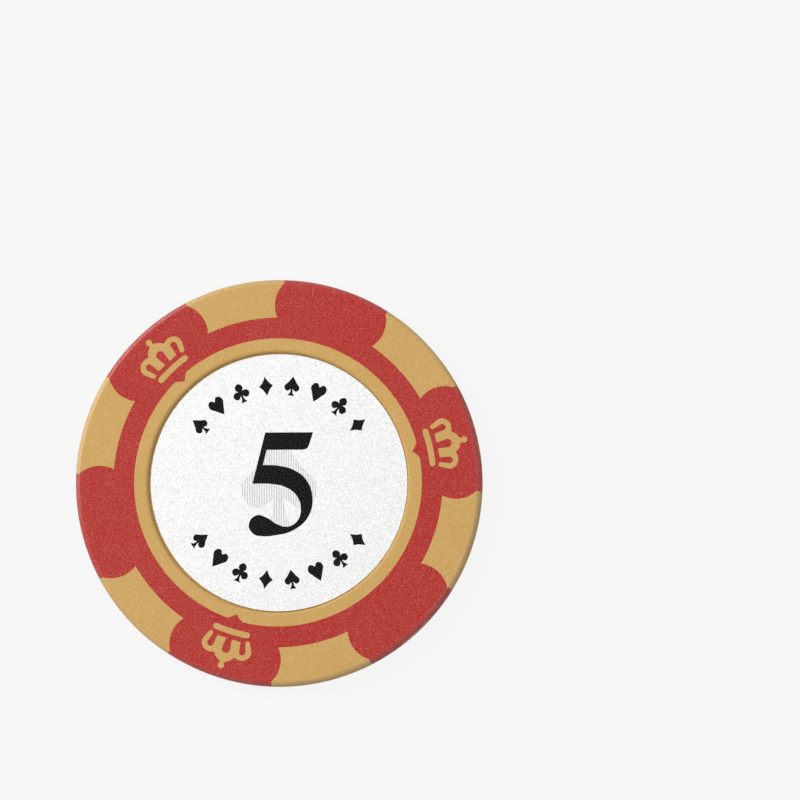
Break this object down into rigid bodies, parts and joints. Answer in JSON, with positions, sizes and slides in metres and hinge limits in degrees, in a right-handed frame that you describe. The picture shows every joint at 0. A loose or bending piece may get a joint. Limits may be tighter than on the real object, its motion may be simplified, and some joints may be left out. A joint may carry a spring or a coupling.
{
  "type": "poker chip",
  "caption": "Round weighted poker chip in sand and red plastic, with crown inlays on the faces, dashes on the rim and a recessed printed label in each face.",
  "frame": {"origin": "centre of the back face, on the surface that the chip lies on", "axes": "+Z along the chip's axis towards the front face, +Y towards the top of the front label, +X to its right"},
  "size_m": [0.04, 0.04, 0.0033],
  "materials": {
    "steel": "stamped sheet steel",
    "sand_plastic": "satin",
    "red_plastic": "satin",
    "adhesive": "matte",
    "label": "matte",
    "film": "satin"
  },
  "bodies": {
    "root": {"weight_slug": "steel", "sand_core": "sand_plastic", "red_cage": "red_plastic", "front_adhesive": "adhesive", "front_label": "label", "front_film": "film", "back_adhesive": "adhesive", "back_label": "label", "back_film": "film"}
  },
  "joints": []
}
